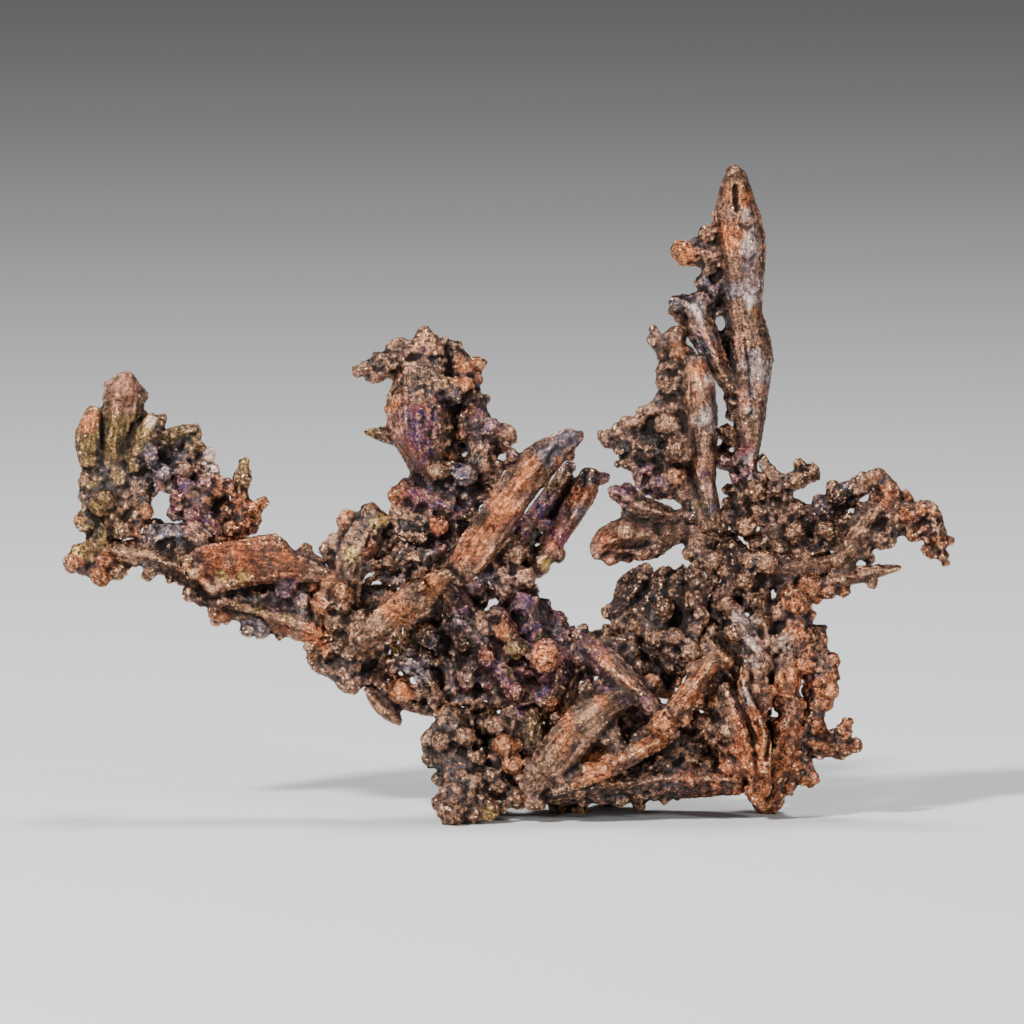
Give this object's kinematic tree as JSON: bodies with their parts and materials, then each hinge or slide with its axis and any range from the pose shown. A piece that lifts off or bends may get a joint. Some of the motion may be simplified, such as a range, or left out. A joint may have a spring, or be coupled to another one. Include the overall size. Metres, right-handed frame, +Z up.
{
  "type": "native copper nugget",
  "caption": "Branching native copper specimen of blades, fingers and knobs on a crusted foot, for display standing on a shelf or table.",
  "frame": {"origin": "on the floor under the centre of the specimen's box", "axes": "+Z up; +X towards the end with the tall spire, along the specimen's length; -Y is the front, the side usually shown"},
  "size_m": [0.1485, 0.0308, 0.1099],
  "materials": {
    "earthy_copper": "brown weathered native copper, half dull, pitted, with dark recesses and worn bright points",
    "bright_copper": "orange-red native copper, semi-bright on its ridges, brown between them",
    "iridescent_copper": "dark tarnished native copper with a violet and steel-blue film",
    "blade_copper": "striated copper blade, semi-bright, with brown and grey-blue tarnish"
  },
  "bodies": {
    "root": {"base_crust": "earthy_copper", "lower_left_block": "earthy_copper", "right_trunk": "bright_copper", "centre_mass": "iridescent_copper", "shoulder_cluster": "earthy_copper", "granular_edge": "bright_copper", "spire": "blade_copper", "spire_side": "earthy_copper", "leaf_branch": "earthy_copper", "short_fingers": "iridescent_copper", "right_branch": "bright_copper", "blade_branch": "blade_copper", "head_branch": "iridescent_copper", "arm_root": "earthy_copper", "left_arm": "blade_copper", "left_bush": "iridescent_copper", "left_tip": "earthy_copper"}
  },
  "joints": []
}
